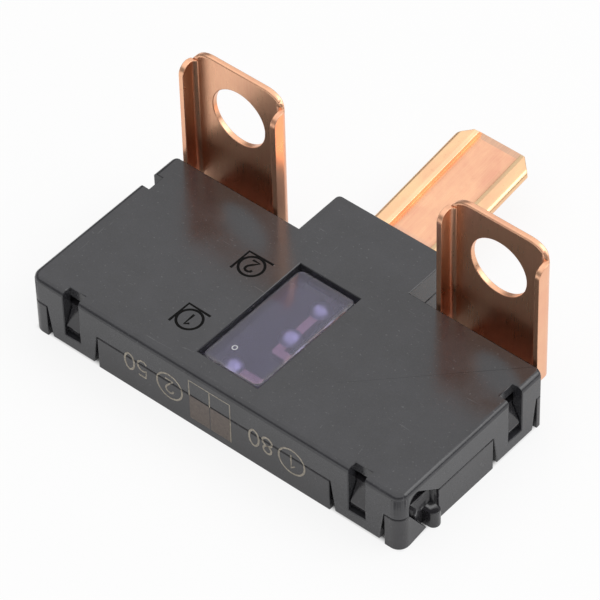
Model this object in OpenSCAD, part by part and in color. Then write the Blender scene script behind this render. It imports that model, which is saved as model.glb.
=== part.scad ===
// Multiblock fuse: one stamped copper plate with three terminals, held in a black
// two-shell snap case with a violet inspection lens over the melting links.
// Millimetres, +Z up. The front wall, which carries the marks, faces -Y, and the
// origin is the middle of the main body's underside.

/* [Case] */
// Length of the case along X
case_len = 46; // [45:0.5:54]
// Depth of the main body along Y
case_depth = 21; // [20:0.5:27]
// Height of the case
case_h = 7.3; // [7:0.1:9]
// Width of the nose behind the main body
nose_w = 13.8; // [12.6:0.2:16]
// Depth of the nose
nose_d = 6; // [4:0.5:9]
// Height of the seam between the two shells
seam_z = 4.1; // [3.7:0.1:4.6]
// Wall of the upper cover
skirt_t = 1.1; // [0.9:0.05:1.2]
// Thickness of the cover's roof
roof_t = 1.2; // [1:0.1:1.4]
// Inner wall of the lower case
rim_t = 1; // [0.8:0.05:1.2]
// Height of that inner wall
rim_z = 5.1; // [4.9:0.1:5.2]
// Floor of the lower case
floor_t = 1; // [0.8:0.1:1.3]
// Radius of the upright front corners
corner_r = 1.2; // [0.8:0.1:1.6]
// Rounding of the roof's edge along the front and the ends
edge_r = 0.6; // [0.3:0.1:0.7]
// Gap between pieces that fit into each other
fit_gap = 0.1; // [0.05:0.01:0.15]

/* [Snap legs] */
// Width of a leg at the seam
leg_w = 6.4; // [5.6:0.1:7]
// How much a leg narrows on each side down to its foot
leg_taper = 0.55; // [0.2:0.05:0.9]
// Height of the legs' feet above the underside
leg_foot_z = 0.3; // [0.2:0.1:0.8]
// Thickness of the bar below a leg's slot
leg_bar = 1.35; // [1.1:0.05:1.5]
// Middle of a front leg, from the end of the case
front_leg_in = 5.25; // [5:0.05:6]
// Middle of an end leg, from the rear wall
end_leg_in = 4.05; // [3.9:0.05:5]
// Width of a leg's slot
slot_w = 2; // [1.6:0.1:2.4]
// How far a slot runs into the roof
slot_in = 1.2; // [0.9:0.05:1.3]
// How far a catch stands out of the inner wall
catch_out = 0.95; // [0.6:0.05:1]
// Height of a catch's lower edge
catch_z = 2.3; // [2.1:0.1:2.6]
// Length of a catch's ramp
catch_h = 2.5; // [2:0.1:2.6]

/* [Window] */
// Width of the window along X
window_w = 7.5; // [6:0.1:9]
// Distance of the window from the front and the rear of the case
window_in = 3; // [2.7:0.1:4.5]
// How far the window's middle lies in front of the case's middle
window_shift = 0.5; // [0.3:0.1:0.7]
// How deep the lens lies below the roof
lens_drop = 0.35; // [0.2:0.05:0.5]
// Thickness of the lens's glued rim
lens_rim_t = 0.8; // [0.5:0.1:0.9]
// How far that rim reaches past the window
lens_rim = 0.8; // [0.5:0.1:0.9]
// Bevel around the lens's face
lens_bevel = 0.3; // [0.1:0.05:0.4]

/* [Corner recess] */
// Half of the recess's width in the cover's right end
recess_r = 2.3; // [2:0.1:2.4]
// Middle of the recess, from the front wall
recess_in = 3.6; // [3.4:0.1:3.9]
// Rise of the recess above the seam
recess_up = 2.35; // [1.5:0.05:2.4]
// Depth of the recess in the lower case
recess_d = 0.9; // [0.5:0.1:1]
// Radius of the stop peg that stands in the recess
peg_r = 0.7; // [0.6:0.05:0.9]
// Height of the stop peg
peg_h = 1.95; // [1.5:0.05:3]
// Middle of the stop peg, from the front wall
peg_in = 4.9; // [4.6:0.1:5]

/* [Fuse plate] */
// Thickness of the copper sheet
sheet_t = 0.6; // [0.5:0.05:0.7]
// Height of the sheet's underside inside the case
plate_z = 2.7; // [2.4:0.05:2.9]
// Distance between the two bolt holes
hole_spacing = 32; // [30:0.5:33]
// Diameter of a bolt hole
hole_d = 6.6; // [5.3:0.1:7.2]
// Distance from a lug's upper edge down to the middle of its bolt hole
hole_drop = 5.9; // [5:0.1:7]
// Width of an upright lug
tab_w = 12.2; // [11:0.1:13]
// Height of the lugs' upper edge
tab_top = 20.9; // [20:0.1:24]
// Depth of a lug over its folded edges
tab_d = 2.3; // [2:0.1:2.8]
// Gap between the rear wall and a lug's folded edges
tab_gap = 0.3; // [0.2:0.1:1]
// Lower end of a lug's folded edges
tab_low = 4.1; // [4.1:0.1:5]
// Radius of a lug's upper corners
tab_corner_r = 2.7; // [1.5:0.1:3]
// Drop from a lug's upper edge to its folded edges
fold_drop = 1.3; // [1:0.1:2.5]
// Radius of a folded edge's front upper corner
fold_corner_r = 1.2; // [0.5:0.1:1.5]
// Outer radius of the folds
fold_r = 1.2; // [0.9:0.1:1.3]
// Width of the neck below a lug
neck_w = 8; // [6:0.2:9]

/* [Blade] */
// Width of the blade
blade_w = 9.2; // [8:0.1:10]
// Width of the edges that are folded back flat onto the blade
hem_w = 2; // [1.5:0.1:3]
// Length of the blade behind the nose
blade_len = 16.7; // [12:0.1:22]
// Upward tilt of the blade in degrees
blade_tilt = 8; // [0:1:10]
// Width of the flat stem inside the case
stem_w = 7; // [5:0.2:7.2]
// Cut-back of the blade's two corners at the tip
blade_corner = 2; // [0.8:0.1:2.4]
// Length of the bevel along the tip
tip_bevel = 0.6; // [0.3:0.1:1]

/* [Melting links] */
// Width of a melting link
link_w = 0.9; // [0.6:0.1:1.2]
// Radius of a tin slug
slug_r = 1.15; // [0.9:0.05:1.4]
// Height of a tin slug
slug_h = 0.75; // [0.5:0.05:0.9]
// Radius of the locating pins
pin_r = 0.9; // [0.7:0.1:1.2]

/* [Hidden] */
$fn = 48;
eps = 0.01;
far = 60;

// The case
front_y = -case_depth / 2;
rear_y = case_depth / 2;
end_x = case_len / 2;
nose_y = rear_y + nose_d;
roof_z = case_h - roof_t;
case_top_z = seam_z - fit_gap;
step_in = skirt_t + fit_gap;
room_in = step_in + rim_t;
rear_corner_r = 0.4;
nose_corner_r = 0.5;
window_l = case_depth - 2 * window_in;

// The copper sheet and what it passes through
plate_top_z = plate_z + sheet_t;
tab_back_y = rear_y + tab_gap + tab_d;
hole_z = tab_top - hole_drop;
bend_r = fold_r + 0.1;
bus_gap = 0.5;
bus_clear = 2.4;
bus_x0 = window_w / 2 + bus_clear;
bus_x1 = end_x - room_in - bus_gap;
bus_y0 = front_y + room_in + bus_gap;
bus_y1 = rear_y - room_in - bus_gap;
blade_gap = 0.5;
blade_root_y = nose_y + blade_gap;
blade_fold_y = 0.7;
bevel_angle = 55;
hem_slope = [0.5, 0.1]; // run and drop

// The melting links, seen from above: 1 lies in front and 2 runs to the blade
link_1_y = -window_shift - 0.287 * window_l;
link_1_x = -2.2;
link_2_x = -0.2;
link_2_y = [0.113 * window_l - window_shift, 0.407 * window_l - window_shift];
link_turn_y = -window_shift - 0.02 * window_l;
link_jog = 1.2;
link_lap = 1;
SLUGS = [[link_1_x, link_1_y], [link_2_x, link_2_y[0]], [link_2_x, link_2_y[1]]];
pin_in = 2;
pin_x = hole_spacing / 2 - pin_in;
pin_y = 2.5;
post_wall = 1;
rib_in = [3, 2];
rib_short = 1;

// Outline of the recess above the seam, in shares of its half width and its rise,
// and its lower part, measured from its middle
RECESS = [[-1, 0], [-1, 0.52], [-0.92, 0.76], [-0.76, 0.93], [-0.56, 1], [-0.42, 0.96],
          [0.84, 0]];
recess_foot = [0.2, 0.4];
recess_chamfer_y = -2.2;
peg_back = 0.1;
recess_rear_y = 1.95;
recess_rib_w = 0.4;
recess_rib_y = -1.1;
recess_rib_z = 3.65;

black = [0.13, 0.13, 0.14];
dark = [0.1, 0.1, 0.11];
copper = [0.85, 0.5, 0.32];
tin = [0.8, 0.8, 0.82];
violet = [0.45, 0.4, 0.6, 0.5];

// Outline of the main body seen from above. The inset pulls in the front and the
// ends and leaves the rear edge where it is.
module body_outline(inset = 0) {
    r = max(corner_r - inset, eps);
    x = end_x - inset;
    y = front_y + inset;
    translate([-x, y + r])
        square([2 * x, rear_y - y - r - rear_corner_r]);
    translate([-x + r, y])
        square([2 * (x - r), r + eps]);
    translate([-x + rear_corner_r, rear_y - rear_corner_r - eps])
        square([2 * (x - rear_corner_r), rear_corner_r + eps]);
    for (side = [-1, 1]) {
        translate([side * (x - r), y + r])
            circle(r);
        translate([side * (x - rear_corner_r), rear_y - rear_corner_r])
            circle(rear_corner_r);
    }
}

module nose_outline() {
    translate([-nose_w / 2, 0])
        square([nose_w, nose_y - nose_corner_r]);
    translate([-nose_w / 2 + nose_corner_r, nose_y - nose_corner_r - eps])
        square([nose_w - 2 * nose_corner_r, nose_corner_r + eps]);
    for (side = [-1, 1])
        translate([side * (nose_w / 2 - nose_corner_r), nose_y - nose_corner_r])
            circle(nose_corner_r);
}

// Room inside the walls: the main body and the nose, pulled in on all sides
module room_outline(inset) {
    translate([-end_x + inset, front_y + inset])
        square([case_len - 2 * inset, case_depth - 2 * inset]);
    translate([-nose_w / 2 + inset, 0])
        square([nose_w - 2 * inset, nose_y - inset]);
}

// Puts a shape drawn for the front wall at each snap leg
module at_legs() {
    for (side = [-1, 1]) {
        translate([side * (end_x - front_leg_in), front_y, 0])
            children();
        translate([side * end_x, rear_y - end_leg_in, 0])
            rotate([0, 0, side * 90])
                children();
    }
}

// Puts a shape drawn around x = 0 at each of the two lugs, with y = 0 on the rear
// wall that the lug's neck passes
module at_lugs() {
    for (side = [-1, 1])
        translate([side * hole_spacing / 2, rear_y, 0])
            children();
}

// A roof block whose edge is rounded along the front and the ends
module rounded_roof() {
    step = 30;
    hull()
        for (a = [0 : step : 90]) {
            z = case_h - edge_r + edge_r * sin(a);
            translate([0, 0, z - eps])
                linear_extrude(eps, convexity = 2)
                    body_outline(edge_r * (1 - cos(a)));
        }
}

// A leg is a tapered tongue of the skirt. Its outer face lies on y = 0.
module leg() {
    half = leg_w / 2;
    foot = half - leg_taper;
    rotate([90, 0, 0])
        translate([0, 0, -skirt_t])
            linear_extrude(skirt_t)
                polygon([[-half, seam_z + eps], [-foot, leg_foot_z],
                         [foot, leg_foot_z], [half, seam_z + eps]]);
}

// The slot of a leg runs up through the skirt and a little way into the roof
module leg_slot() {
    low = leg_foot_z + leg_bar;
    translate([-slot_w / 2, -eps, low])
        cube([slot_w, skirt_t + 2 * eps, far]);
    translate([-slot_w / 2, -eps, roof_z - eps])
        cube([slot_w, slot_in + eps, far]);
}

// A catch is a ramp on the inner wall: steep below, running out upwards
module catch() {
    wall = step_in + eps;
    rotate([90, 0, 90])
        translate([0, 0, -slot_w / 2 + fit_gap])
            linear_extrude(slot_w - 2 * fit_gap)
                polygon([[wall, catch_z], [step_in - catch_out, catch_z],
                         [step_in - catch_out, catch_z + catch_h / 5],
                         [wall, catch_z + catch_h]]);
}

// Recess beside the right front corner: round above the seam, slanted below it
module recess(depth, low, high) {
    mid = front_y + recess_in;
    translate([end_x - depth, 0, 0])
        rotate([90, 0, 90])
            linear_extrude(far)
                intersection() {
                    union() {
                        polygon([for (p = RECESS)
                                 [mid + recess_r * p[0], seam_z + recess_up * p[1]]]);
                        polygon([[mid + recess_rear_y, seam_z], [mid - recess_r, seam_z],
                                 [mid + recess_foot[0], recess_foot[1]],
                                 [mid + recess_chamfer_y, -eps], [mid + recess_rear_y, -eps]]);
                    }
                    translate([mid - far / 2, low])
                        square([far, high - low]);
                }
}

module upper_cover() color(black) {
    tongue = skirt_t + rim_t;
    difference() {
        union() {
            translate([0, 0, seam_z])
                linear_extrude(case_h - edge_r - seam_z)
                    body_outline();
            rounded_roof();
            translate([0, 0, seam_z])
                linear_extrude(case_h - seam_z)
                    nose_outline();
        }
        translate([0, 0, -eps])
            linear_extrude(roof_z + eps)
                room_outline(skirt_t);
        at_legs() leg_slot();
        translate([-window_w / 2, -window_l / 2 - window_shift, 0])
            cube([window_w, window_l, far]);
        recess(skirt_t + eps, seam_z - eps, case_h - edge_r);
    }
    difference() {
        at_legs() leg();
        at_legs() leg_slot();
    }
    // Hollow posts that hold the plate down around the locating pins
    for (side = [-1, 1])
        translate([side * pin_x, pin_y, 0])
            difference() {
                translate([0, 0, plate_top_z])
                    cylinder(r = pin_r + post_wall, h = roof_z - plate_top_z + eps);
                translate([0, 0, plate_top_z - eps])
                    cylinder(r = pin_r + fit_gap, h = rim_z - plate_top_z);
            }
    // Tongues that close the lower case's notches above the copper
    at_lugs()
        translate([-neck_w / 2, -tongue, plate_top_z])
            cube([neck_w, tongue, seam_z - plate_top_z + eps]);
    translate([-stem_w / 2, nose_y - tongue, plate_top_z])
        cube([stem_w, tongue, seam_z - plate_top_z + eps]);
}

module lower_case() color(dark) {
    difference() {
        union() {
            linear_extrude(case_top_z) {
                body_outline();
                nose_outline();
            }
            linear_extrude(rim_z)
                room_outline(step_in);
        }
        translate([0, 0, floor_t])
            linear_extrude(far)
                room_outline(room_in);
        at_legs()
            translate([-leg_w / 2 - fit_gap, -eps, -eps])
                cube([leg_w + 2 * fit_gap, step_in + eps, case_top_z + 2 * eps]);
        at_lugs()
            translate([-neck_w / 2 - fit_gap, -room_in - eps, plate_z])
                cube([neck_w + 2 * fit_gap, room_in + 2 * eps, far]);
        translate([-stem_w / 2 - fit_gap, nose_y - room_in - eps, plate_z])
            cube([stem_w + 2 * fit_gap, room_in + 2 * eps, far]);
        recess(recess_d, -eps, case_top_z + eps);
    }
    at_legs() catch();
    // Stop peg with the web that ties it to the wall
    translate([end_x - peg_back, front_y + peg_in, 0])
        cylinder(r = peg_r, h = peg_h);
    translate([end_x - recess_d - eps, front_y + peg_in - peg_r, 0])
        cube([recess_d - peg_back + eps, 2 * peg_r, peg_h]);
    // Thin rib beside the peg
    translate([end_x - recess_d - eps, front_y + recess_in + recess_rib_y, floor_t])
        translate([0, -recess_rib_w / 2, 0])
            cube([recess_d - recess_rib_w / 2, recess_rib_w, recess_rib_z - floor_t]);
    // Ribs under the buses and pins through them
    for (side = [-1, 1]) {
        translate([side * pin_x, pin_y, 0])
            cylinder(r = pin_r, h = rim_z - fit_gap);
        for (x = [bus_x0 + rib_in[0], bus_x1 - rib_in[1]])
            translate([side * x - rim_t / 2, bus_y0 + rib_short, 0])
                cube([rim_t, bus_y1 - bus_y0 - 2 * rib_short, plate_z]);
    }
}

module window_lens() color(violet) {
    w = window_w - 2 * fit_gap;
    l = window_l - 2 * fit_gap;
    top = case_h - lens_drop;
    translate([0, -window_shift, 0]) {
        translate([-window_w / 2 - lens_rim, -window_l / 2 - lens_rim, roof_z - lens_rim_t])
            cube([window_w + 2 * lens_rim, window_l + 2 * lens_rim, lens_rim_t]);
        translate([-w / 2, -l / 2, roof_z - eps])
            cube([w, l, top - lens_bevel - roof_z + eps]);
        hull() {
            translate([-w / 2, -l / 2, top - lens_bevel - eps])
                cube([w, l, eps]);
            translate([-w / 2 + lens_bevel, -l / 2 + lens_bevel, top - eps])
                cube([w - 2 * lens_bevel, l - 2 * lens_bevel, eps]);
        }
    }
}

// Section of a lug: a flat back on y = 0 with both long edges folded to y = d
module channel_section(w, d) {
    difference() {
        channel_block(w, d, fold_r);
        translate([0, sheet_t])
            channel_block(w - 2 * sheet_t, d, fold_r - sheet_t);
    }
}

module channel_block(w, d, r) {
    translate([-w / 2, r])
        square([w, d - r]);
    translate([-w / 2 + r, 0])
        square([w - 2 * r, r + eps]);
    for (side = [-1, 1])
        translate([side * (w / 2 - r), r])
            circle(r);
}

// Upright lug, with its back face on y = 0 and its folded edges towards -y
module lug() {
    high = tab_top - tab_low;
    difference() {
        translate([0, 0, tab_low])
            linear_extrude(high)
                mirror([0, 1])
                    channel_section(tab_w, tab_d);
        for (side = [-1, 1]) {
            // Round upper corner of the back
            translate([side * (tab_w / 2 - tab_corner_r), eps, tab_top - tab_corner_r])
                rotate([90, 0, 0])
                    linear_extrude(sheet_t + 2 * eps)
                        difference() {
                            translate([side > 0 ? 0 : -far, 0])
                                square([far, far]);
                            circle(tab_corner_r);
                        }
            // The folded edge starts lower, with its front corner rounded
            translate([side * tab_w / 2 - fold_r, -tab_d - eps, tab_top - fold_drop])
                cube([2 * fold_r, tab_d - sheet_t, far]);
            translate([side * tab_w / 2 - fold_r, -tab_d, tab_top - fold_drop - fold_corner_r])
                rotate([90, 0, 90])
                    linear_extrude(2 * fold_r)
                        difference() {
                            translate([-eps, 0])
                                square([fold_corner_r + eps, fold_corner_r + eps]);
                            translate([fold_corner_r, 0])
                                circle(fold_corner_r);
                        }
            // Slanted lower corner
            translate([side * tab_w / 2, 0, tab_low - fold_r])
                rotate([0, 45, 0])
                    cube([2 * fold_r, far, 2 * fold_r], center = true);
        }
    }
}

// Neck that bends from the lug's back down and forward into the case
module neck() {
    run = tab_back_y - bus_y1 + eps;
    rotate([90, 0, 90])
        translate([0, 0, -neck_w / 2])
            linear_extrude(neck_w) {
                translate([-sheet_t, plate_z + bend_r])
                    square([sheet_t, tab_low - plate_z - bend_r + eps]);
                translate([-run, plate_z])
                    square([run - bend_r, sheet_t]);
                intersection() {
                    translate([-bend_r, plate_z + bend_r])
                        difference() {
                            circle(bend_r);
                            circle(bend_r - sheet_t);
                        }
                    translate([-bend_r - eps, plate_z - eps])
                        square([bend_r + 2 * eps, bend_r + 2 * eps]);
                }
            }
}

// Section of the blade: the sheet's long edges are folded back flat onto it, and
// their inner edges slope a little
module hemmed_section() {
    half = blade_w / 2 - sheet_t;
    inner = blade_w / 2 - hem_w;
    top = 2 * sheet_t;
    translate([-half, 0])
        square([2 * half, sheet_t]);
    for (side = [-1, 1]) {
        translate([side * half, sheet_t])
            circle(sheet_t);
        polygon([[side * inner, sheet_t - eps], [side * inner, top - hem_slope[1]],
                 [side * (inner + hem_slope[0]), top], [side * half, top],
                 [side * half, sheet_t - eps]]);
    }
}

// Blade, drawn along +y from its root with its underside on z = 0
module blade() {
    len = blade_len / cos(blade_tilt);
    difference() {
        union() {
            translate([0, blade_fold_y, 0])
                rotate([90, 0, 180])
                    linear_extrude(len - blade_fold_y)
                        hemmed_section();
            translate([-stem_w / 2, 0, 0])
                cube([stem_w, blade_fold_y + eps, sheet_t]);
        }
        for (side = [-1, 1]) {
            // Corners cut at the tip, and more lightly at the root
            translate([side * blade_w / 2, len, 0])
                rotate([0, 0, 45])
                    cube([blade_corner * sqrt(2), blade_corner * sqrt(2), far], center = true);
            translate([side * blade_w / 2, blade_fold_y, 0])
                rotate([0, 0, 45])
                    cube([sheet_t * sqrt(2), sheet_t * sqrt(2), far], center = true);
        }
        // Lead-in bevel along the tip
        translate([-far / 2, len - tip_bevel, 2 * sheet_t])
            rotate([-bevel_angle, 0, 0])
                cube(far);
    }
}

// A strip of the sheet along a line of points, with round turns
module strip(points, w) {
    for (i = [0 : len(points) - 2]) {
        p = points[i];
        d = points[i + 1] - p;
        translate(p)
            rotate(atan2(d[1], d[0]))
                translate([0, -w / 2])
                    square([norm(d), w]);
        translate(points[i + 1])
            circle(w / 2);
    }
}

module bus_outline(side) {
    difference() {
        translate([side > 0 ? bus_x0 : -bus_x1, bus_y0])
            square([bus_x1 - bus_x0, bus_y1 - bus_y0]);
        translate([side * pin_x, pin_y])
            circle(pin_r + fit_gap);
    }
}

module fuse_plate() color(copper) {
    translate([0, 0, plate_z])
        linear_extrude(sheet_t) {
            for (side = [-1, 1])
                bus_outline(side);
            translate([-stem_w / 2, bus_y1])
                square([stem_w, blade_root_y - bus_y1]);
            strip([[-bus_x0 - eps, link_1_y - link_jog], [link_1_x - link_jog, link_1_y - link_jog],
                   [link_1_x, link_1_y], [bus_x0 + link_lap, link_1_y]], link_w);
            strip([[link_2_x, bus_y1 + link_lap], [link_2_x, link_turn_y],
                   [bus_x0 + link_lap, link_turn_y]], link_w);
        }
    for (side = [-1, 1])
        translate([side * hole_spacing / 2, tab_back_y, 0])
            difference() {
                union() {
                    lug();
                    neck();
                }
                translate([0, eps, hole_z])
                    rotate([90, 0, 0])
                        cylinder(d = hole_d, h = tab_d);
            }
    translate([0, blade_root_y, plate_z])
        rotate([blade_tilt, 0, 0])
            blade();
}

// A tin slug is a flat drop that lies on its link
module tin_slug(n) color(tin) {
    ball_r = (slug_r * slug_r + slug_h * slug_h) / (2 * slug_h);
    translate([SLUGS[n - 1][0], SLUGS[n - 1][1], plate_top_z])
        intersection() {
            translate([0, 0, slug_h - ball_r])
                sphere(ball_r);
            cylinder(r = 2 * slug_r, h = 2 * slug_h);
        }
}

upper_cover();
lower_case();
window_lens();
fuse_plate();
tin_slug(1);  // tin_slug_1
tin_slug(2);  // tin_slug_2
tin_slug(3);  // tin_slug_3
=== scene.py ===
# %% [markdown]
# This lesson dresses a multiblock fuse. The object is a flat black plastic case
# with a violet inspection lens, two upright copper lugs for bolts and a copper
# blade at the back. The CAD model gives every size and every place, so this
# script adds what CAD leaves out: softened edges, finishes, marks and light.
# We begin by loading the CAD model as a fixed frame.

# %% Load the frame
from math import cos, pi, radians, sin

import bmesh
import bpy
from mathutils import Matrix, Vector


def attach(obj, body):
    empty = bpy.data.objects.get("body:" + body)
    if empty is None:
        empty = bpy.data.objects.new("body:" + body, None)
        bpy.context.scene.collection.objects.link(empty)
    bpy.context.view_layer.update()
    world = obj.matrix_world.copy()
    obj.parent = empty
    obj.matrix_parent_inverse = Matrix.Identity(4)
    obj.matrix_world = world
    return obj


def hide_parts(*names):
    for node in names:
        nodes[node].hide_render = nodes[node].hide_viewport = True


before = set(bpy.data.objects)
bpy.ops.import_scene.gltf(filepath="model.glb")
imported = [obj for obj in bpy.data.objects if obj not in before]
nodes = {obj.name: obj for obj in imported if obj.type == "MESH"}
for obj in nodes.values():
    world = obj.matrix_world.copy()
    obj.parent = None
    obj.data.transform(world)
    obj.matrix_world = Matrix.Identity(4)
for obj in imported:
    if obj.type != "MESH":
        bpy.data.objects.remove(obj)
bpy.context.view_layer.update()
MM = 0.001
print("CAD nodes:", sorted(nodes))

# %% [markdown]
# The marks, the floor and the choice of edges need some of the CAD's sizes, so
# they are repeated here in millimetres. The lens is given a little less width and
# length than the window, which leaves a dark gap round it. The origin is the
# middle of the case's underside, the front wall faces -Y, and +Z points up.

# %% Sizes taken from the CAD
CASE_LEN, CASE_DEPTH, CASE_H = 46.0, 21.0, 7.3
FRONT_Y, REAR_Y, END_X = -CASE_DEPTH / 2, CASE_DEPTH / 2, CASE_LEN / 2
NOSE_HALF, NOSE_Y = 6.9, 16.5
SEAM_LOW, SEAM_HIGH = 4.0, 4.1
LENS_W, LENS_L, LENS_SHIFT, LENS_RIM = 7.1, 14.6, -0.5, 1.0
LENS_TOP, LENS_FOOT, LENS_RIM_LOW = 6.95, 6.1, 5.3
print("case", CASE_LEN, "x", CASE_DEPTH, "x", CASE_H, "mm")

# %% [markdown]
# The camera was solved from the photograph: its direction, its slight roll and
# its distance make the corners of the case, the two bolt holes and the lens fall
# where they fall there. A long lens far away keeps the case's long edges almost
# parallel. We could aim it with a Track To constraint, but we build its three axes
# by hand, because that says exactly which way it looks and how it rolls.

# %% Camera
AZIMUTH, ELEVATION, ROLL = radians(41.4814), radians(45.9242), radians(1.6835)
LOOKED_AT, DISTANCE = (-0.780, 3.431, 7.000), 417.62
SENSOR_WIDTH, FOCAL_LENGTH = 36, 263.27
level_right = Vector((cos(AZIMUTH), sin(AZIMUTH), 0))
towards_camera = Vector((sin(AZIMUTH) * cos(ELEVATION),
                         -cos(AZIMUTH) * cos(ELEVATION), sin(ELEVATION)))
level_up = towards_camera.cross(level_right)
camera_right = cos(ROLL) * level_right - sin(ROLL) * level_up
camera_up = sin(ROLL) * level_right + cos(ROLL) * level_up
camera_place = Vector(LOOKED_AT) * MM + towards_camera * DISTANCE * MM

bpy.ops.object.select_all(action="DESELECT")
bpy.ops.object.camera_add(location=camera_place)
camera = bpy.context.active_object
camera.name = "studio_camera"
turn = Matrix((camera_right, camera_up, towards_camera)).transposed().to_4x4()
camera.matrix_world = Matrix.Translation(camera_place) @ turn
camera.data.sensor_width = SENSOR_WIDTH
camera.data.lens = FOCAL_LENGTH
camera.data.clip_start = 0.01
bpy.context.scene.camera = camera
print("camera stands", round(camera_place.length / MM), "mm from the fuse's origin")

# %% [markdown]
# A node tree is easier to read as a formula. The class Wire wraps one socket and
# turns +, -, * and / into Math nodes, also with a plain number on the left. The
# class Nodes makes every other kind of node in one tree: settings first, then
# sockets. The class Finish is such a tree for one material.

# %% Writing node trees as formulas
class Wire:
    """One value or colour on its way through a node tree."""

    def __init__(self, nodes_, socket):
        self.nodes = nodes_
        self.socket = socket

    def math(self, operation, other, swapped=False):
        first, second = (other, self) if swapped else (self, other)
        return self.nodes.node("ShaderNodeMath", {"operation": operation}, {0: first, 1: second})

    def __add__(self, other):
        return self.math("ADD", other)

    def __radd__(self, other):
        return self.math("ADD", other, True)

    def __sub__(self, other):
        return self.math("SUBTRACT", other)

    def __rsub__(self, other):
        return self.math("SUBTRACT", other, True)

    def __mul__(self, other):
        return self.math("MULTIPLY", other)

    def __rmul__(self, other):
        return self.math("MULTIPLY", other, True)

    def __truediv__(self, other):
        return self.math("DIVIDE", other)

    def __rtruediv__(self, other):
        return self.math("DIVIDE", other, True)


class Nodes:
    """A node tree and short ways to add to it."""

    def __init__(self, tree):
        self.tree = tree

    def feed(self, target, sockets):
        for key, value in sockets.items():
            if isinstance(value, Wire):
                self.tree.links.new(value.socket, target.inputs[key])
            else:
                target.inputs[key].default_value = value

    def node(self, kind, settings, sockets, out=0):
        made = self.tree.nodes.new(kind)
        for key, value in settings.items():
            setattr(made, key, value)
        self.feed(made, sockets)
        return Wire(self, made.outputs[out])

    def place(self, stretch=(1, 1, 1), shift=(0, 0, 0)):
        """Object coordinates in millimetres, stretched along the axes."""
        here = self.node("ShaderNodeTexCoord", {}, {}, "Object")
        scale = tuple(value / MM for value in stretch)
        return self.node("ShaderNodeMapping", {},
                         {"Vector": here, "Scale": scale, "Location": shift})

    def along(self, place, axis):
        """The X, Y or Z of a place, by its number 0, 1 or 2."""
        return self.node("ShaderNodeSeparateXYZ", {}, {0: place}, axis)

    def away(self, place, axis, middle=0.0):
        """How far a place lies from the middle, to either side."""
        return (self.along(place, axis) - middle).math("ABSOLUTE", 0.0)

    def noise(self, place, scale=1.0, detail=3.0, rough=0.6, bend=0.0):
        return self.node("ShaderNodeTexNoise", {}, {
            "Vector": place, "Scale": scale, "Detail": detail,
            "Roughness": rough, "Distortion": bend})

    def ramp(self, value, low, high, to_low=0.0, to_high=1.0):
        """value from low to high becomes to_low to to_high, and stays between them."""
        return self.node("ShaderNodeMapRange", {"clamp": True}, {
            "Value": value, "From Min": low, "From Max": high,
            "To Min": to_low, "To Max": to_high})

    def mix(self, mask, first, second):
        return self.node("ShaderNodeMix", {"data_type": "RGBA"}, {0: mask, 6: first, 7: second}, 2)


class Finish(Nodes):
    """One material with a Principled shader."""

    def __init__(self, name, **sockets):
        self.material = bpy.data.materials.new(name)
        self.material.use_nodes = True
        super().__init__(self.material.node_tree)
        self.shader = self.tree.nodes["Principled BSDF"]
        self.feed(self.shader, {key.replace("_", " "): value for key, value in sockets.items()})

    def bump(self, height, strength, distance):
        relief = self.node("ShaderNodeBump", {}, {
            "Height": height, "Strength": strength, "Distance": distance * MM})
        self.feed(self.shader, {"Normal": relief})


print("three helper classes ready")

# %% [markdown]
# The case is moulded in black plastic. Up close it isn't even: the tool's finely
# eroded surface gives a soft grain, handling leaves pale hairline scratches and
# specks, and the satin finish mirrors the copper lugs as blurred streaks. So the
# colour stays almost black, the roughness carries the cloudy patches, and a very
# small bump carries the grain.

# %% Black moulded plastic
SCUFF_GREY = (0.16, 0.16, 0.165, 1)


def black_plastic(name, colour):
    finish = Finish(name, IOR=1.58)
    grain = finish.noise(finish.place(), scale=9.0, detail=4.0)
    cloud = finish.noise(finish.place(), scale=0.35, rough=0.55)
    speckle = finish.noise(finish.place(), scale=3.4, detail=1.0, rough=0.4)
    lengthwise = finish.noise(finish.place(stretch=(0.35, 4.2, 1.0)), detail=2.0, bend=0.6)
    crosswise = finish.noise(finish.place(stretch=(3.6, 0.45, 1.0), shift=(7.0, 3.0, 0.0)),
                             detail=2.0, bend=0.8)
    patches = finish.ramp(cloud, 0.35, 0.68)
    specks = finish.ramp(speckle, 0.705, 0.76)
    scratches = finish.ramp(lengthwise, 0.715, 0.745) + finish.ramp(crosswise, 0.735, 0.77)
    marks = finish.ramp(specks + scratches, 0.0, 1.0, to_high=0.3)
    cloudy = tuple(1.35 * value for value in colour)
    pale = tuple(2.1 * value + 0.02 for value in colour)
    body = finish.mix(patches, (*colour, 1), (*cloudy, 1))
    body = finish.mix(finish.ramp(grain, 0.45, 0.75, to_high=0.3), body, (*pale, 1))
    finish.feed(finish.shader, {
        "Base Color": finish.mix(marks, body, SCUFF_GREY),
        "Roughness": (0.12 + patches * 0.06
                      + finish.ramp(grain, 0.3, 0.7) * 0.05 + marks * 0.2),
    })
    finish.bump(grain + marks * 0.5, strength=0.28, distance=0.02)
    return finish.material


cover_black = black_plastic("cover_black_plastic", (0.027, 0.027, 0.0305))
# The lower case's colour is a little darker than the cover's: painted shade for its low, set-back
# places.
case_black = black_plastic("lower_case_shaded_black_plastic", (0.024, 0.023, 0.026))
print("plastics:", cover_black.name, case_black.name)
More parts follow.
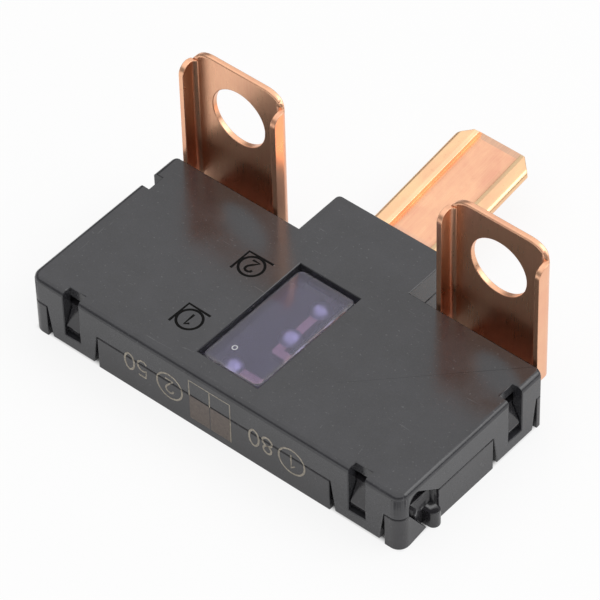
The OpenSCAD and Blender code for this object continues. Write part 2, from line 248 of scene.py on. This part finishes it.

# %% [markdown]
# The fuse plate is rolled copper alloy. Copper is a metal, so nearly all of its
# look is reflection: bright where it mirrors the studio, dark brown where it
# mirrors the black case. Rolling leaves fine draw lines. They run up the lugs
# and along the blade, so the pattern is stretched along both Z and Y and tight
# across X. Thin tarnish changes the colour in soft clouds, and it sits in the
# shallow channel between the blade's folded edges. Painted shade darkens the two
# inner corners of that channel. The folded edges are a lighter copper, and a thin
# painted highlight runs along the inner edge of each fold. A band along the
# blade's tip is painted shade, where its bevel is. Low down, inside the case, the
# sheet is painted darker and greyer as shade. Every one of these places is a mask
# made from Object coordinates.

# %% Copper
HEM_X, BLADE_Y, TIP_BAND_Y, INSIDE_Z = 2.55, 17.0, 32.7, 3.5
LUG_COPPER, CHANNEL_COPPER = (0.96, 0.52, 0.325, 1), (0.95, 0.54, 0.34, 1)
# The second colour on the next line is a painted highlight along the inner edge of each fold.
FOLD_COPPER, PAINTED_FOLD_HIGHLIGHT = (1.0, 0.67, 0.38, 1), (1.0, 0.78, 0.46, 1)
# The second colour on the next line is painted shade for the channel's two inner corners.
TARNISH, PAINTED_CORNER_SHADE = (0.86, 0.42, 0.29, 1), (0.62, 0.33, 0.20, 1)
# The first colour on the next line is painted shade for a band along the blade's tip, where its
# bevel is.
# The second colour on the next line is painted shade for the sheet inside the case.
PAINTED_TIP_SHADE, PAINTED_INSIDE_SHADE = (0.62, 0.42, 0.31, 1), (0.40, 0.33, 0.38, 1)
DRAW_LINE, BROWN_SPOT = (0.98, 0.61, 0.38, 1), (0.78, 0.38, 0.25, 1)


def copper_finish():
    finish = Finish("rolled_copper", Metallic=1.0)
    lines = finish.noise(finish.place(stretch=(7.0, 0.16, 0.16)), rough=0.65)
    fine = finish.noise(finish.place(stretch=(16.0, 0.5, 0.5)), detail=2.0, rough=0.5)
    clouds = finish.noise(finish.place(stretch=(0.45, 0.3, 0.3)), detail=4.0, bend=0.4)
    spots = finish.ramp(finish.noise(finish.place(), scale=2.2), 0.62, 0.74)

    here = finish.place()
    side, back = finish.away(here, 0), finish.along(here, 1)
    blade = finish.ramp(back, BLADE_Y, BLADE_Y + 0.1)
    channel = finish.ramp(side, HEM_X - 0.2, HEM_X + 0.2, 1.0, 0.0)
    # tip: where painted shade darkens a band along the blade's tip.
    tip = channel * finish.ramp(back, TIP_BAND_Y, TIP_BAND_Y + 0.1)
    # corner: where painted shade darkens the two inner corners of the blade's channel.
    corner = (blade * finish.ramp(side, HEM_X - 0.65, HEM_X - 0.1)
              * finish.ramp(side, HEM_X - 0.03, HEM_X + 0.05, 1.0, 0.0))
    # A narrow band on each fold, next to its inner edge, gets a painted highlight.
    fold_highlight = (blade * finish.ramp(side, HEM_X + 0.05, HEM_X + 0.1)
              * finish.ramp(side, HEM_X + 0.45, HEM_X + 0.55, 1.0, 0.0))
    tarnish = finish.ramp(clouds, 0.40, 0.70, to_high=0.8) * (0.5 + blade * channel * 0.5)
    # inside: painted shade, darker and greyer, on the sheet low down inside the case.
    inside = finish.ramp(finish.along(here, 2), INSIDE_Z, INSIDE_Z + 0.2, 0.6, 0.0)

    colour = finish.mix(blade, LUG_COPPER, CHANNEL_COPPER)
    for mask, paint in ((blade * (1 - channel), FOLD_COPPER), (fold_highlight * 0.8, PAINTED_FOLD_HIGHLIGHT),
                        (tarnish, TARNISH), (corner * 0.75, PAINTED_CORNER_SHADE), (tip * 0.7, PAINTED_TIP_SHADE),
                        (finish.ramp(lines, 0.40, 0.66, to_high=0.4), DRAW_LINE),
                        (inside, PAINTED_INSIDE_SHADE), (spots * 0.3, BROWN_SPOT)):
        colour = finish.mix(mask, colour, paint)
    finish.feed(finish.shader, {
        "Base Color": colour,
        "Roughness": (0.26 + finish.ramp(fine, 0.3, 0.7) * 0.08
                      + tarnish * 0.1 + spots * 0.05),
    })
    finish.bump(lines * 0.7 + fine * 0.3, strength=0.16, distance=0.012)
    return finish.material


copper = copper_finish()
print("metal:", copper.name)

# %% [markdown]
# The tin drops on the melting links are bright and slightly matt, because molten
# tin freezes with a wrinkled skin. The lens over them is clear violet plastic.
# Its underside is hazed, so the links look blurred through it. A slightly rough,
# tinted transmission does that, and the small share that isn't transmitted is the
# milky violet veil. Towards its rounded border a paler violet is painted in, as a
# highlight along the round.

# %% Tin and violet lens
TIN_BRIGHT, TIN_GREY = (0.97, 0.97, 0.98, 1), (0.86, 0.86, 0.90, 1)
VIOLET_PALE, VIOLET_DEEP = (0.62, 0.59, 0.82, 1), (0.57, 0.54, 0.77, 1)
# The colour on the next line is a painted highlight along the lens's rounded border, and the two
# numbers say where it begins and ends.
PAINTED_BORDER_HIGHLIGHT, BORDER_START, BORDER_END = (0.97, 0.94, 1.0, 1), 0.55, 0.25


def tin_finish():
    finish = Finish("melted_tin", Metallic=1.0)
    skin = finish.noise(finish.place(), scale=2.6)
    finish.feed(finish.shader, {
        "Base Color": finish.mix(finish.ramp(skin, 0.35, 0.7), TIN_BRIGHT, TIN_GREY),
        "Roughness": finish.ramp(skin, 0.3, 0.7, 0.36, 0.5),
    })
    finish.bump(skin, strength=0.3, distance=0.05)
    return finish.material


def lens_finish():
    finish = Finish("violet_lens", IOR=1.46, Transmission_Weight=0.9)
    here = finish.place()
    haze = finish.noise(here, scale=0.5)
    side, end = (finish.ramp(finish.away(here, axis, middle),
                             size / 2 - BORDER_START, size / 2 - BORDER_END)
                 for axis, middle, size in ((0, 0.0, LENS_W), (1, LENS_SHIFT, LENS_L)))
    veil = finish.mix(finish.ramp(haze, 0.35, 0.7), VIOLET_PALE, VIOLET_DEEP)
    finish.feed(finish.shader, {
        # Towards the border the colour turns pale: a painted highlight along the round.
        "Base Color": finish.mix(side.math("MAXIMUM", end) * 0.85, veil, PAINTED_BORDER_HIGHLIGHT),
        "Roughness": finish.ramp(haze, 0.3, 0.75, 0.09, 0.12),
    })
    return finish.material


tin = tin_finish()
violet = lens_finish()
print("finishes:", tin.name, violet.name)

# %% [markdown]
# The front print is burnt in by a laser, which foams the black plastic to a pale
# tan with a broken edge. The marks on the roof are moulded grooves; the shade in
# them is painted as a near-black colour that shines less. All of them are mottled
# in the same way, so one function makes the four finishes.

# %% Laser print, grooves and ring
def mark_finish(name, dark, light, gloss=0.5):
    finish = Finish(name, Specular_IOR_Level=gloss)
    foam = finish.noise(finish.place(), scale=7.0, rough=0.7)
    finish.feed(finish.shader, {
        "Base Color": finish.mix(finish.ramp(foam, 0.36, 0.62), (*dark, 1), (*light, 1)),
        "Roughness": finish.ramp(foam, 0.3, 0.7, 0.5, 0.75),
    })
    finish.bump(foam, strength=0.3, distance=0.02)
    return finish.material


laser_line = mark_finish("laser_line", (0.24, 0.21, 0.17), (0.50, 0.45, 0.37))
laser_fill = mark_finish("laser_fill", (0.115, 0.092, 0.080), (0.20, 0.165, 0.145))
# The roof marks are near black: painted shade of the moulded grooves.
painted_groove_shade = mark_finish("painted_groove_shade", (0.003, 0.003, 0.003), (0.007, 0.007, 0.007), 0.08)
ring_white = mark_finish("ring_white", (0.45, 0.45, 0.48), (0.8, 0.8, 0.82))
print("marks:", laser_line.name, laser_fill.name, painted_groove_shade.name, ring_white.name)

# %% [markdown]
# Every finished piece needs the same last steps: its finish, its name and the body
# it rides on. These helpers do that once.
# All operators act on whatever is selected, so pick deselects everything first.

# %% Small helpers for pieces
def pick(piece):
    bpy.ops.object.select_all(action="DESELECT")
    piece.select_set(True)
    bpy.context.view_layer.objects.active = piece


def coat(piece, material):
    piece.data.materials.clear()
    piece.data.materials.append(material)


def settle(piece, name, material, slot, *stands_for):
    piece.name = name
    piece.data.name = name
    coat(piece, material)
    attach(piece, "root")
    if stands_for:
        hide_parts(*stands_for)
    print(name, "has", len(piece.data.polygons), "faces")


print("helpers ready")

# %% [markdown]
# A moulded or stamped edge is never razor sharp: a tiny round catches the light,
# and that thin bright line is what tells the eye that the object is real. CAD
# edges are sharp. We could bevel by hand in edit mode, edge by edge, but a Bevel
# modifier that reads a weight from each edge does the whole piece at once, and
# rounds an edge less where its weight is smaller. So we copy the CAD mesh, merge
# its loose triangles, join the ones that lie flat, and weigh only the outward
# edges that show. A Weighted Normal modifier then keeps the flat faces flat.

# %% Copy a CAD solid and soften its edges
MERGE, FLAT_ANGLE, SMOOTH_ANGLE = 0.012 * MM, radians(0.6), radians(30)


def softened_copy(node, width, weight_at, sharp=radians(32), segments=2):
    source = nodes[node]
    piece = source.copy()
    piece.data = source.data.copy()
    bpy.context.collection.objects.link(piece)
    pick(piece)
    bpy.ops.object.mode_set(mode="EDIT")
    bpy.ops.mesh.select_all(action="SELECT")
    bpy.ops.mesh.remove_doubles(threshold=MERGE)
    bpy.ops.mesh.dissolve_limited(angle_limit=FLAT_ANGLE)
    bpy.ops.object.mode_set(mode="OBJECT")
    mesh = bmesh.new()
    mesh.from_mesh(piece.data)
    weight = mesh.edges.layers.float.new("bevel_weight_edge")
    for edge in mesh.edges:
        outward = len(edge.link_faces) == 2 and edge.is_convex
        if outward and edge.calc_face_angle(0) > sharp:
            edge[weight] = weight_at((edge.verts[0].co + edge.verts[1].co) / 2 / MM)
    softened = sum(edge[weight] > 0 for edge in mesh.edges)
    mesh.to_mesh(piece.data)
    mesh.free()
    bpy.ops.object.shade_smooth_by_angle(angle=SMOOTH_ANGLE)
    bevel = piece.modifiers.new("soft_edges", "BEVEL")
    bevel.limit_method = "WEIGHT"
    bevel.width = width * MM
    bevel.segments = segments
    bevel.use_clamp_overlap = False
    even = piece.modifiers.new("flat_faces_stay_flat", "WEIGHTED_NORMAL")
    even.keep_sharp = True
    even.weight = 100
    pick(piece)
    for modifier in (bevel.name, even.name):
        bpy.ops.object.modifier_apply(modifier=modifier)
    print(node, "has", softened, "softened edges")
    return piece


def near(value, *planes):
    return any(abs(value - plane) < 0.03 for plane in planes)


print("merge distance", MERGE / MM, "mm")

# %% [markdown]
# The upper cover is the roof, its skirt and the four snap legs. The edges that
# show lie on its outer planes: the roof, the front, the ends, the rear wall and
# the nose. An edge is found by the place of its middle, because its number would
# change with the mesh.

# %% Upper cover
def cover_weight(p):
    return float(near(p.z, CASE_H, SEAM_HIGH) or near(p.y, FRONT_Y, REAR_Y, NOSE_Y)
                 or near(abs(p.x), END_X) or (p.y > REAR_Y and near(abs(p.x), NOSE_HALF)))


cover = softened_copy("upper_cover", 0.10, cover_weight)
settle(cover, "moulded_cover", cover_black, "case_black", "upper_cover")

# %% [markdown]
# The lower case shows below the seam, behind the slots of the legs and in the
# recess on the right. It is the same plastic from another tool, with slightly
# crisper edges. Its colour is a little darker than the cover's, as painted shade,
# because it all lies low or set back.

# %% Lower case
def case_weight(p):
    return float(near(p.z, 0, SEAM_LOW) or near(p.y, FRONT_Y, REAR_Y, NOSE_Y)
                 or near(abs(p.x), END_X) or p.x > END_X - 0.2
                 or (p.y > REAR_Y and near(abs(p.x), NOSE_HALF)))


lower = softened_copy("lower_case", 0.07, case_weight)
settle(lower, "moulded_tray", case_black, "case_black", "lower_case")

# %% [markdown]
# The fuse plate is one sheet, stamped and folded. Stamping rounds one side of a
# cut edge: the lugs' upper edges are well rounded towards the front. All other
# outer edges get a third of that round. At the blade's tip, and where a folded
# edge meets the lug's corner, the edges lie too close together to be rounded, and
# they stay as CAD has them.

# %% Fuse plate
LUG_X, LUG_FRONT_Y, LUG_CORNER_Z, FOLD_START = 16.0, 12.5, 18.3, 5.0
TIP_Y, TIP_HALF, TIP_Z = 32.9, 3.2, 5.5
SMALL_ROUND = 0.32


def plate_weight(p):
    lug_front = near(p.y, LUG_FRONT_Y)
    tip = p.y > TIP_Y and abs(p.x) < TIP_HALF and p.z > TIP_Z
    kink = lug_front and abs(abs(p.x) - LUG_X) > FOLD_START
    if p.y < REAR_Y + 0.05 or tip or kink:
        return 0.0
    return 1.0 if lug_front and p.z > LUG_CORNER_Z else SMALL_ROUND


plate = softened_copy("fuse_plate", 0.22, plate_weight, radians(28), 3)
settle(plate, "stamped_plate", copper, "copper", "fuse_plate")

# %% [markdown]
# The lens is a shallow pad that stands in the window, on a wider rim that is
# glued under the roof. Its upright corners and its top edge are rounded, and that
# round draws the pale violet line along the window. We start from a cube, set it
# to size, and bevel first the four upright edges and then the top loop.

# %% Inspection lens
PAD_CORNER_ROUND, PAD_TOP_ROUND, RIM_CORNER_ROUND = 0.8, 0.34, 0.4


def box_piece(size, centre):
    bpy.ops.object.select_all(action="DESELECT")
    bpy.ops.mesh.primitive_cube_add(size=1)
    piece = bpy.context.active_object
    piece.data.transform(Matrix.Translation(Vector(centre) * MM)
                         @ Matrix.Diagonal((*(Vector(size) * MM), 1)))
    return piece


def bevel_where(piece, chosen, width, segments):
    """Rounds the edges that a test on their two ends chooses."""
    pick(piece)
    bpy.ops.object.mode_set(mode="EDIT")
    bpy.ops.mesh.select_mode(type="EDGE")
    bpy.ops.mesh.select_all(action="DESELECT")
    mesh = bmesh.from_edit_mesh(piece.data)
    for edge in mesh.edges:
        a, b = (vert.co / MM for vert in edge.verts)
        edge.select_set(chosen(a, b))
    bmesh.update_edit_mesh(piece.data)
    bpy.ops.mesh.bevel(offset=width * MM, segments=segments, affect="EDGES")
    bpy.ops.object.mode_set(mode="OBJECT")


def upright(a, b):
    return abs(a.z - b.z) > 0.5


def top_loop(a, b):
    return min(a.z, b.z) > LENS_TOP - 0.01


pad = box_piece((LENS_W, LENS_L, LENS_TOP - LENS_RIM_LOW),
                (0, LENS_SHIFT, (LENS_TOP + LENS_RIM_LOW) / 2))
bevel_where(pad, upright, PAD_CORNER_ROUND, 6)
bevel_where(pad, top_loop, PAD_TOP_ROUND, 4)
rim = box_piece((LENS_W + 2 * LENS_RIM, LENS_L + 2 * LENS_RIM, LENS_FOOT - LENS_RIM_LOW),
                (0, LENS_SHIFT, (LENS_FOOT + LENS_RIM_LOW) / 2))
bevel_where(rim, upright, RIM_CORNER_ROUND, 3)
pick(pad)
union = pad.modifiers.new("rim", "BOOLEAN")
union.operation = "UNION"
union.object = rim
bpy.ops.object.modifier_apply(modifier=union.name)
bpy.data.objects.remove(rim, do_unlink=True)
pick(pad)
bpy.ops.object.shade_smooth_by_angle(angle=SMOOTH_ANGLE)
settle(pad, "inspection_lens", violet, "lens_violet", "window_lens")

# %% [markdown]
# The three tin drops keep their CAD shape, which is right as it is, and only get
# their finish. A CAD node is never moved or reshaped.

# %% Tin drops
for number in (1, 2, 3):
    coat(nodes["tin_slug_%d" % number], tin)
print("tin on three drops")

# %% [markdown]
# All marks are drawn with one line of even width, as an engraver or a laser
# does. A font would bring its own letter shapes, so each figure is a short list of
# points in a box one unit high. A curve with a round profile follows the points,
# becomes a mesh, and is flattened until it stands barely proud of the surface.

# %% Figures as strokes
PROUD = 0.012


def oval(cx, cy, rx, ry, steps=28):
    return [(cx + rx * sin(2 * pi * i / steps), cy + ry * cos(2 * pi * i / steps))
            for i in range(steps + 1)]


FIGURES = {
    "0": [oval(0.3, 0.5, 0.28, 0.5)],
    "1": [[(0.08, 0.76), (0.34, 1.0), (0.34, 0.0)]],
    "2": [[(0.03, 0.76), (0.07, 0.90), (0.20, 0.99), (0.38, 0.99), (0.53, 0.90),
           (0.57, 0.74), (0.52, 0.58), (0.36, 0.38), (0.03, 0.0), (0.60, 0.0)]],
    "5": [[(0.54, 1.0), (0.11, 1.0), (0.07, 0.55), (0.20, 0.64), (0.38, 0.64), (0.53, 0.53),
           (0.58, 0.33), (0.53, 0.13), (0.37, 0.01), (0.18, 0.01), (0.03, 0.13)]],
    "8": [oval(0.3, 0.76, 0.23, 0.24), oval(0.3, 0.26, 0.28, 0.26)],
}
FIGURE_WIDTH, FIGURE_PITCH = 0.6, 0.78


def figure(text, centre, height):
    """Strokes of a number, centred, with its top towards +v."""
    start = -(FIGURE_WIDTH + FIGURE_PITCH * (len(text) - 1)) / 2
    return [[(centre[0] + (u + start + FIGURE_PITCH * place) * height,
              centre[1] + (v - 0.5) * height) for u, v in stroke]
            for place, character in enumerate(text) for stroke in FIGURES[character]]


def drawn(strokes, width):
    """A flat mesh of lines in the XY plane that stands proud of z = 0."""
    curve = bpy.data.curves.new("strokes", "CURVE")
    curve.dimensions = "3D"
    curve.bevel_depth = width / 2 * MM
    curve.bevel_resolution = 1
    curve.use_fill_caps = True
    for stroke in strokes:
        spline = curve.splines.new("POLY")
        closed = (Vector(stroke[0]) - Vector(stroke[-1])).length < 1e-6
        points = stroke[:-1] if closed else stroke
        spline.points.add(len(points) - 1)
        for point, (u, v) in zip(spline.points, points):
            point.co = (u * MM, v * MM, 0, 1)
        spline.use_cyclic_u = closed
    piece = bpy.data.objects.new("strokes", curve)
    bpy.context.collection.objects.link(piece)
    pick(piece)
    bpy.ops.object.convert(target="MESH")
    piece = bpy.context.active_object
    bpy.ops.object.mode_set(mode="EDIT")
    bpy.ops.mesh.select_all(action="SELECT")
    bpy.ops.transform.resize(value=(1, 1, 2 * PROUD / width))
    bpy.ops.object.mode_set(mode="OBJECT")
    return piece


print("figures:", "".join(FIGURES))

# %% [markdown]
# On the roof, two circled numbers stand beside the window, each under a corner
# bracket, and name the two links. They are turned half round, to be read from
# the blade's side. The table gives each mark's middle, and then the bracket's
# three points: its front end, its corner and its side end.

# %% Numbers on the roof
ROOF_FIGURE, ROOF_RING, ROOF_LINE = 1.5, 1.3, 0.28
ROOF_MARKS = {
    "1": ((-7.05, -5.35), ((-8.52, -6.66), (-8.48, -3.76), (-5.74, -3.82))),
    "2": ((-7.08, 3.69), ((-8.57, 2.33), (-8.57, 5.14), (-5.56, 5.16))),
}
HALF_TURN = Matrix.Rotation(pi, 4, "Z")
for number, (middle, corners) in ROOF_MARKS.items():
    circled = figure(number, (0, 0), ROOF_FIGURE) + [oval(0, 0, ROOF_RING, ROOF_RING, 40)]
    bracket = [(middle[0] - x, middle[1] - y) for x, y in corners]
    mark = drawn(circled + [bracket], ROOF_LINE)
    mark.data.transform(Matrix.Translation(Vector((*middle, CASE_H)) * MM) @ HALF_TURN)
    settle(mark, "roof_mark_" + number, painted_groove_shade, "case_black")

# %% [markdown]
# The front wall names the ratings: a number in a circle and the current beside
# it, with a square of four cells between. The print runs over the seam, where the
# gap between the two shells cuts it, so the strokes are bisected there.

# %% Print on the front wall
def cut_at_seam(piece):
    """Removes what hangs over the gap between the two shells."""
    halves = []
    for level, keep_above in ((SEAM_HIGH, True), (SEAM_LOW, False)):
        half = piece.copy()
        half.data = piece.data.copy()
        bpy.context.collection.objects.link(half)
        pick(half)
        bpy.ops.object.mode_set(mode="EDIT")
        bpy.ops.mesh.select_all(action="SELECT")
        bpy.ops.mesh.bisect(plane_co=(0, 0, level * MM), plane_no=(0, 0, 1), use_fill=True,
                            clear_inner=keep_above, clear_outer=not keep_above)
        bpy.ops.object.mode_set(mode="OBJECT")
        halves.append(half)
    bpy.data.objects.remove(piece, do_unlink=True)
    pick(halves[0])
    halves[1].select_set(True)
    bpy.ops.object.join()
    return halves[0]


ON_FRONT = Matrix(((-1, 0, 0, 0), (0, 0, -1, FRONT_Y * MM), (0, -1, 0, 0), (0, 0, 0, 1)))
PRINT_Z, RING_Z = 3.6, 3.5
RATING_FIGURE, RATING_LINE = 2.1, 0.24
CIRCLED_FIGURE, CIRCLE_RADIUS, CIRCLE_LINE = 1.75, 1.58, 0.22


def on_front(strokes, width, name):
    piece = drawn(strokes, width)
    piece.data.transform(ON_FRONT)
    settle(cut_at_seam(piece), name, laser_line, "case_black")


def front_point(x, z):
    return (-x, -z)


ratings = []
for text, x in (("50", -9.5), ("80", 6.1)):
    ratings += figure(text, front_point(x, PRINT_Z), RATING_FIGURE)
on_front(ratings, RATING_LINE, "print_ratings")
circled = []
for text, x in (("2", -5.25), ("1", 9.9)):
    centre = front_point(x, RING_Z)
    circled += figure(text, centre, CIRCLED_FIGURE)
    circled.append(oval(*centre, CIRCLE_RADIUS, CIRCLE_RADIUS, 40))
on_front(circled, CIRCLE_LINE, "print_link_numbers")

# %% [markdown]
# The square in the middle has two outlined cells above and two filled ones below.
# The fill is a very thin plate, inset and pushed out a little, in a browner tone
# than the lines.

# %% Square of four cells
GRID_X, GRID_Z, GRID_HALF, GRID_LINE = -0.2, 3.5, 2.55, 0.16
FILL_THICK, FILL_ROUND, MIDDLE_GAP, SIDE_GAP = 0.02, 0.06, 0.05, 0.08
left, right = GRID_X - GRID_HALF, GRID_X + GRID_HALF
low, high = GRID_Z - GRID_HALF, GRID_Z + GRID_HALF
outline = [
    [front_point(left, SEAM_LOW), front_point(left, high),
     front_point(right, high), front_point(right, low)],
    [front_point(GRID_X, SEAM_LOW), front_point(GRID_X, high)],
]
on_front(outline, GRID_LINE, "print_square")


def through_wall(a, b):
    return abs(a.y - b.y) > FILL_THICK / 2


for name, x0, x1 in (("print_cell_left", left, GRID_X - MIDDLE_GAP),
                     ("print_cell_right", GRID_X + MIDDLE_GAP, right - SIDE_GAP)):
    cell = box_piece((x1 - x0, FILL_THICK, SEAM_LOW - low),
                     ((x0 + x1) / 2, FRONT_Y, (SEAM_LOW + low) / 2))
    bevel_where(cell, through_wall, FILL_ROUND, 2)
    settle(cell, name, laser_fill, "case_black")

# %% [markdown]
# A tiny white ring sits on the lens near its front. It is the mark of the gate
# through which the plastic entered the mould.

# %% Ring on the lens
RING_X, RING_Y, RING_LINE = -1.55, -5.17, 0.12
ring = drawn([oval(0, 0, 0.24, 0.27, 24)], RING_LINE)
ring.data.transform(Matrix.Translation(Vector((RING_X, RING_Y, LENS_TOP)) * MM))
settle(ring, "lens_gate_ring", ring_white, "lens_violet")

# %% [markdown]
# The studio has a white floor. It looks white to the camera, in reflections and
# through the lens, and still takes part of the object's shadow, because its shader
# mixes a plain white glow with an ordinary matt surface. Right under the case the
# glow is left out, so that the narrow gaps beside the legs stay dark.

# %% Floor
CAMERA_GLOW, OTHER_GLOW, EDGE_FADE = 0.85, 0.4, 0.6
bpy.ops.object.select_all(action="DESELECT")
bpy.ops.mesh.primitive_plane_add(size=3.0, location=(0, 0, 0))
floor = bpy.context.active_object
floor.name = "studio_floor"
white = Finish("studio_white", Base_Color=(0.92, 0.92, 0.92, 1), Roughness=0.9,
               Specular_IOR_Level=0.0)
spot = white.place()
under = (white.ramp(white.away(spot, 0), END_X - EDGE_FADE, END_X, 1.0, 0.0)
         * white.ramp(white.away(spot, 1), REAR_Y - EDGE_FADE, REAR_Y, 1.0, 0.0))
seen, mirrored, through = (white.node("ShaderNodeLightPath", {}, {}, "Is %s Ray" % kind)
                           for kind in ("Camera", "Glossy", "Transmission"))
glow = white.node("ShaderNodeEmission", {}, {"Color": (1, 1, 1, 1), "Strength": 1.0})
matt = Wire(white, white.shader.outputs[0])
glowing = (seen * CAMERA_GLOW + (mirrored + through) * OTHER_GLOW) * (1 - under)
mixed = white.node("ShaderNodeMixShader", {}, {0: glowing, 1: matt, 2: glow})
white.feed(white.tree.nodes["Material Output"], {"Surface": mixed})
floor.data.materials.append(white.material)
print("floor laid")

# %% [markdown]
# A very large softbox hangs above the table. It could be an area lamp, but it is
# painted into the world, which costs nothing to make: bright overhead, and dim
# near the horizon, where the room is. The roof and the blade mirror the softbox,
# and the rounded edges mirror the dim room, which draws the dark lines along the
# case.

# %% Softbox in the world
SOFTBOX_LOW, SOFTBOX_HIGH, ROOM_LIGHT, SOFTBOX_LIGHT = 0.48, 0.66, 0.25, 1.1
world = bpy.data.worlds.new("studio_sky")
bpy.context.scene.world = world
world.use_nodes = True
sky = Nodes(world.node_tree)
height = sky.along(sky.node("ShaderNodeTexCoord", {}, {}, "Generated"), 2)
sky.feed(world.node_tree.nodes["Background"], {
    "Color": (1, 1, 1, 1),
    "Strength": sky.ramp(height, SOFTBOX_LOW, SOFTBOX_HIGH, ROOM_LIGHT, SOFTBOX_LIGHT)})
bpy.context.scene.view_settings.view_transform = "Standard"
print("softbox painted")

# %% [markdown]
# A soft lamp behind on the right gives the right side of the case more light than
# the front. A disk is softer at its rim than a square, and a lamp shines along its
# own -Z, so its Z is turned away from the fuse.

# %% Side lamp
LAMP_PLACE = Vector((0.45, 0.35, 0.45))
bpy.ops.object.light_add(type="AREA", location=LAMP_PLACE)
lamp = bpy.context.active_object
lamp.name = "side_lamp"
lamp.data.shape = "DISK"
lamp.data.size = 0.6
lamp.data.energy = 1.5
lamp.rotation_euler = LAMP_PLACE.to_track_quat("Z", "Y").to_euler()
print("side lamp", lamp.data.energy, "W")

# %% Finish
print("the scene is set")
